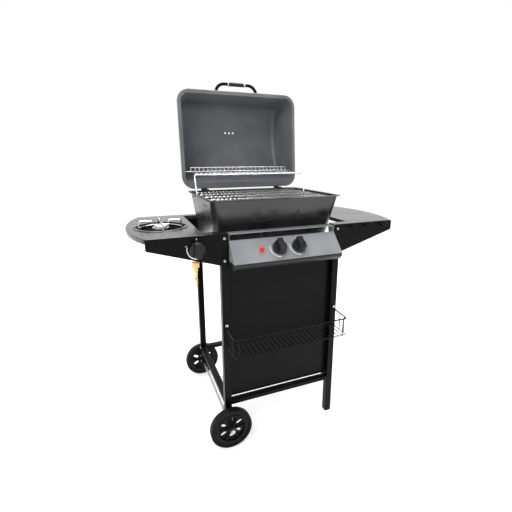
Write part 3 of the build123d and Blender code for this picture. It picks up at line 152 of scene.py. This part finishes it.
# ---------------------------------------------------------------- materials
def coat(name, base, edge_scuff_highlight_colour, roughness, grain=900.0, grain_depth=0.00012, dust=0.10, edge_scuff_highlight_amount=0.5, shine=0.3):
    """Powder coat or paint: fine grain, uneven sheen, dust on top, and edges lightened in patches, partly
    scuffing and partly a painted highlight.
    """
    mat, tree, shader, coords = start(name)
    shader.inputs["Specular IOR Level"].default_value = shine
    blotch = noise(tree, coords, 9.0, 5.0)
    fine = noise(tree, coords, grain, 2.0)
    # Edges lighten in noisy patches: partly scuffing, partly a painted edge highlight.
    edge_scuff_highlight_patches = remap(tree, noise(tree, coords, 70.0, 6.0), 0.56, 0.72, 0.0, 1.0)
    edge = math_node(tree, "MULTIPLY", edge_mask(tree, 0.0012), edge_scuff_highlight_patches)
    settled = math_node(tree, "MULTIPLY", upward(tree), remap(tree, blotch, 0.35, 0.75, 0.0, dust))
    toned = mix(tree, remap(tree, blotch, 0.3, 0.7, 0.0, 1.0), base, tuple(c * 1.35 for c in base))
    dusty = mix(tree, settled, toned, DUST)
    colour = mix(tree, math_node(tree, "MULTIPLY", edge, edge_scuff_highlight_amount), dusty, edge_scuff_highlight_colour)
    tree.links.new(colour, shader.inputs["Base Color"])
    tree.links.new(math_node(tree, "ADD", remap(tree, blotch, 0.25, 0.75, roughness - 0.06, roughness + 0.08),
                             math_node(tree, "MULTIPLY", settled, 0.5)), shader.inputs["Roughness"])
    bump(tree, shader, [(fine, grain_depth, 0.45), (noise(tree, coords, 55.0, 2.0), 0.0004, 0.06)])
    return mat


def metal(name, base, dull, roughness, brushed=None, tarnish=0.5):
    mat, tree, shader, coords = start(name)
    shader.inputs["Metallic"].default_value = 1.0
    cloud = noise(tree, coords, 22.0, 6.0)
    stain = remap(tree, cloud, 0.50, 0.75, 0.0, tarnish)
    tree.links.new(mix(tree, stain, base, dull), shader.inputs["Base Color"])
    streak = noise(tree, coords, 260.0, 3.0, brushed or (1, 1, 1))
    tree.links.new(math_node(tree, "ADD", remap(tree, streak, 0.3, 0.7, roughness * 0.75, roughness * 1.3),
                             math_node(tree, "MULTIPLY", stain, 0.25)), shader.inputs["Roughness"])
    bump(tree, shader, [(streak, 0.0001, 0.25), (cloud, 0.0004, 0.05)])
    return mat


def plastic(name, base, roughness, grain=1500.0, dust=0.15, shine=0.3):
    mat, tree, shader, coords = start(name)
    shader.inputs["Specular IOR Level"].default_value = shine
    blotch = noise(tree, coords, 28.0, 5.0)
    settled = math_node(tree, "MULTIPLY", upward(tree), remap(tree, blotch, 0.4, 0.8, 0.0, dust))
    pale = tuple(min(1.0, c * 2.2 + 0.02) for c in base)
    # Edges lighten evenly towards a paler colour: a painted edge highlight that also stands for rubbing on
    # the edges.
    edge_rub_and_highlight = math_node(tree, "MULTIPLY", edge_mask(tree, 0.0015), 0.35)
    body = mix(tree, edge_rub_and_highlight, base, pale)
    tree.links.new(mix(tree, settled, body, DUST), shader.inputs["Base Color"])
    sheen = remap(tree, blotch, 0.25, 0.75, roughness - 0.05, roughness + 0.1)
    tree.links.new(sheen, shader.inputs["Roughness"])
    bump(tree, shader, [(noise(tree, coords, grain, 2.0), 0.0001, 0.35)])
    return mat


BLACK = coat("black_coat", (0.002, 0.002, 0.0024), (0.10, 0.095, 0.09), 0.32,
             dust=0.03, shine=0.10)
SHELF = coat("shelf_coat", (0.010, 0.010, 0.011), (0.16, 0.15, 0.14), 0.18, dust=0.03, shine=0.9)
LID = coat("lid_coat", (0.118, 0.120, 0.131), (0.32, 0.32, 0.32), 0.40, dust=0.06, shine=0.4)
INNER = coat("firebox_coat", (0.010, 0.010, 0.0105), (0.14, 0.13, 0.12), 0.26,
             grain=700.0, dust=0.10, shine=0.6)
PANEL = coat("panel_coat", (0.190, 0.193, 0.204), (0.42, 0.42, 0.42), 0.34,
             grain=1300.0, edge_scuff_highlight_amount=0.4, shine=0.35)
WHEEL = plastic("wheel_plastic", (0.005, 0.005, 0.006), 0.46, dust=0.06, shine=0.16)
KNOB = plastic("knob_plastic", (0.008, 0.008, 0.009), 0.28)
GRIP = plastic("grip_plastic", (0.016, 0.016, 0.017), 0.42)
CHROME = metal("chrome_wire", (0.90, 0.90, 0.91), (0.55, 0.53, 0.50), 0.12, tarnish=0.3)
ZINC = metal("zinc", (0.56, 0.57, 0.58), (0.32, 0.30, 0.27), 0.34, brushed=(1, 6, 1))
CAST = metal("cast_head", (0.62, 0.62, 0.62), (0.30, 0.29, 0.28), 0.42)
BRASS = metal("brass", (0.74, 0.53, 0.24), (0.35, 0.22, 0.09), 0.26)
RED = plastic("red_plastic", (0.62, 0.016, 0.014), 0.26)
PRINT = plastic("white_print", (0.78, 0.78, 0.76), 0.55, dust=0.05)


def darken_below(mat, height, colour):
    """Repaints the part of a material below a height in the row frame in a dark colour, with a soft edge."""
    tree = mat.node_tree
    shader = tree.nodes["Principled BSDF"]
    coords = next(n for n in tree.nodes if n.bl_idname == "ShaderNodeTexCoord")
    split = tree.nodes.new("ShaderNodeSeparateXYZ")
    tree.links.new(coords.outputs["Object"], split.inputs[0])
    painted = shader.inputs["Base Color"].links[0].from_socket
    below = remap(tree, split.outputs["Z"], height + PAINT_EDGE, height - PAINT_EDGE, 0.0, 1.0)
    tree.links.new(mix(tree, below, painted, colour), shader.inputs["Base Color"])


darken_below(PANEL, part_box("control_panel")[1][2] - LIP_DROP, LIP_BLACK)

BY_SLOT = {"black_coat": BLACK, "panel_coat": PANEL, "black_plastic": GRIP, "black_tube": BLACK,
           "chrome_wire": CHROME, "zinc": ZINC, "cast_head": CAST, "brass": BRASS, "red_plastic": RED}
BY_NODE = {"lid_shell": LID, "left_shelf": SHELF, "right_shelf": SHELF, "firebox": INNER,
           "grate_ledges": INNER, "wheel_front": WHEEL, "wheel_rear": WHEEL, "foot_plugs": WHEEL,
           "knob_left": KNOB, "knob_right": KNOB, "knob_side": KNOB}
for part in frame["record"]["subparts"]:
    name = part["node"]
    mesh = nodes[name].data
    mesh.materials.clear()
    mesh.materials.append(BY_NODE.get(name, BY_SLOT[part["material_slot"]]))


# ---------------------------------------------------------------- pieces
def finish_piece(name, bm, mat, body):
    mesh = bpy.data.meshes.new(name)
    bm.to_mesh(mesh)
    bm.free()
    obj = bpy.data.objects.new(name, mesh)
    bpy.context.scene.collection.objects.link(obj)
    mesh.materials.append(mat)
    bpy.context.view_layer.update()
    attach(obj, body)
    return obj


def plane_axes(normal):
    """Right and up directions on a plane that faces along the normal."""
    right = Vector((0, 0, 1)).cross(normal).normalized()
    return right, normal.cross(right).normalized()


def slab(bm, rim, normal, thick):
    """A thin closed prism from a loop of points."""
    low = [bm.verts.new(p) for p in rim]
    high = [bm.verts.new(p + normal * thick) for p in rim]
    bm.faces.new(low[::-1])
    bm.faces.new(high)
    count = len(rim)
    for i in range(count):
        bm.faces.new((low[i], low[(i + 1) % count], high[(i + 1) % count], high[i]))


def printed_marks(name, joint, normal, surface):
    """The dial marks beside a knob: an arc that widens from low to high, and a short tick at off."""
    centre = Vector(JOINTS[joint]["pos_m"])
    centre = centre + normal * surface
    right, up = plane_axes(normal)
    bm = bmesh.new()
    outer, inner = [], []
    for i in range(ARC_STEPS + 1):
        t = i / ARC_STEPS
        angle = math.radians(165 + 105 * t)
        along = right * math.cos(angle) + up * math.sin(angle)
        outer.append(centre + along * (ARC_OUTER + ARC_GROWTH * t))
        inner.append(centre + along * ARC_INNER)
    slab(bm, outer + inner[::-1], normal, INK)
    for x, y, w, h in ((0.0, 0.0315, 0.0011, 0.0030), (-0.0325, 0.0115, 0.0022, 0.0010)):
        corners = [centre + right * (x + dx * w) + up * (y + dy * h)
                   for dx, dy in ((-1, -1), (1, -1), (1, 1), (-1, 1))]
        slab(bm, corners, normal, INK)
    return finish_piece(name, bm, PRINT, "cart")


incline = -Vector(JOINTS["igniter_press"]["axis"]).normalized()
printed_marks("marks_left", "knob_left_turn", incline, INK_LIFT)
printed_marks("marks_right", "knob_right_turn", incline, INK_LIFT)
printed_marks("marks_side", "knob_side_turn", Vector((0, -1, 0)), INK_LIFT)


def pointer_line(name, node, joint, body):
    """A white line along the top of the knob's grip bar."""
    joint = JOINTS[joint]
    centre, normal = Vector(joint["pos_m"]), Vector(joint["axis"]).normalized()
    right, up = plane_axes(normal)
    points = [v.co for v in nodes[node].data.vertices]
    height = max((p - centre).dot(normal) for p in points)
    bm = bmesh.new()
    middle = centre + normal * (height - 0.00004)
    corners = [middle + right * dx * 0.0009 + up * dy
               for dx, dy in ((-1, 0.008), (1, 0.008), (1, 0.019), (-1, 0.019))]
    slab(bm, corners, normal, INK_LIFT)
    return finish_piece(name, bm, PRINT, body)


pointer_line("pointer_left", "knob_left", "knob_left_turn", "turn_left")
pointer_line("pointer_right", "knob_right", "knob_right_turn", "turn_right")
pointer_line("pointer_side", "knob_side", "knob_side_turn", "turn_side")


def sidewall_ticks(name, node, body, outward):
    """Short radial ribs moulded on the tyre's outer sidewall."""
    low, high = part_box(node)
    middle = (Vector(low) + Vector(high)) / 2
    radius = (high[2] - low[2]) / 2
    verts = nodes[node].data.vertices
    band = [v.co.y * outward for v in verts
            if 0.80 < math.hypot(v.co.x - middle.x, v.co.z - middle.z) / radius < 0.94]
    face_y = outward * max(band)
    bm = bmesh.new()
    count = TICK_COUNT
    for i in range(count):
        angle = math.tau * i / count
        along = Vector((math.cos(angle), 0, math.sin(angle)))
        across = Vector((-math.sin(angle), 0, math.cos(angle)))
        base = Vector((middle.x, face_y - outward * 0.0006, middle.z))
        corners = [base + along * (radius * r) + across * (s * 0.0009)
                   for r, s in ((0.82, -1), (0.93, -1), (0.93, 1), (0.82, 1))]
        slab(bm, corners, Vector((0, outward, 0)), 0.0014)
    bmesh.ops.recalc_face_normals(bm, faces=bm.faces)
    return finish_piece(name, bm, WHEEL, body)


sidewall_ticks("ticks_front", "wheel_front", "wheel_front_body", -1)
sidewall_ticks("ticks_rear", "wheel_rear", "wheel_rear_body", 1)

# ---------------------------------------------------------------- studio
FLOOR_MAT, floor_tree, floor_shader, floor_coords = start("studio_floor")
grain = noise(floor_tree, floor_coords, 3.0, 6.0)
floor_tree.links.new(mix(floor_tree, remap(floor_tree, grain, 0.3, 0.7, 0.0, 1.0), (0.84, 0.84, 0.83),
                         (0.88, 0.88, 0.87)), floor_shader.inputs["Base Color"])
floor_shader.inputs["Roughness"].default_value = 0.75
floor_shader.inputs["Emission Color"].default_value = (1, 1, 1, 1)
floor_shader.inputs["Emission Strength"].default_value = 0.40
bpy.ops.mesh.primitive_plane_add(size=40, location=(0, 0, 0))
floor = bpy.context.object
floor.name = "studio_floor"
floor.data.materials.append(FLOOR_MAT)

world = bpy.data.worlds.new("studio")
bpy.context.scene.world = world
world.use_nodes = True
sky = world.node_tree
sky_coords = sky.nodes.new("ShaderNodeTexCoord")
sky_split = sky.nodes.new("ShaderNodeSeparateXYZ")
sky.links.new(sky_coords.outputs["Generated"], sky_split.inputs[0])
behind = remap(sky, sky_split.outputs["Y"], -0.25, 0.30, 0.0, 1.0)
sky.links.new(mix(sky, behind, (0.38, 0.38, 0.39), (1.0, 1.0, 1.0)), sky.nodes["Background"].inputs["Color"])
sky.nodes["Background"].inputs["Strength"].default_value = 1.0


def area(name, place, target, width, height, power):
    light = bpy.data.lights.new(name, "AREA")
    light.shape = "RECTANGLE"
    light.size, light.size_y, light.energy = width, height, power
    obj = bpy.data.objects.new(name, light)
    bpy.context.scene.collection.objects.link(obj)
    obj.location = place
    obj.rotation_euler = (Vector(target) - Vector(place)).to_track_quat("-Z", "Y").to_euler()


area("key", (-2.2, -2.4, 3.2), (0, 0, 0.8), 2.2, 2.2, 95)
area("fill", (2.8, -1.6, 1.8), (0, 0, 0.7), 1.8, 2.4, 18)
area("top", (0.2, 0.6, 3.4), (0, 0, 0.8), 2.6, 2.0, 120)

camera_data = bpy.data.cameras.new("camera")
camera_data.sensor_width = 36.0
camera_data.lens = 24.48
camera_data.shift_x = -0.0109
camera_data.shift_y = -0.0208
camera = bpy.data.objects.new("camera", camera_data)
bpy.context.scene.collection.objects.link(camera)
forward = Vector((0.3599, 0.8995, -0.2478)).normalized()
turn = forward.to_track_quat("-Z", "Y").to_matrix().to_4x4()
camera.matrix_world = Matrix.Translation((-0.5009, -1.3115, 1.0209)) @ turn
bpy.context.scene.camera = camera
bpy.context.scene.view_settings.view_transform = "Standard"
bpy.context.scene.view_settings.exposure = 0.0
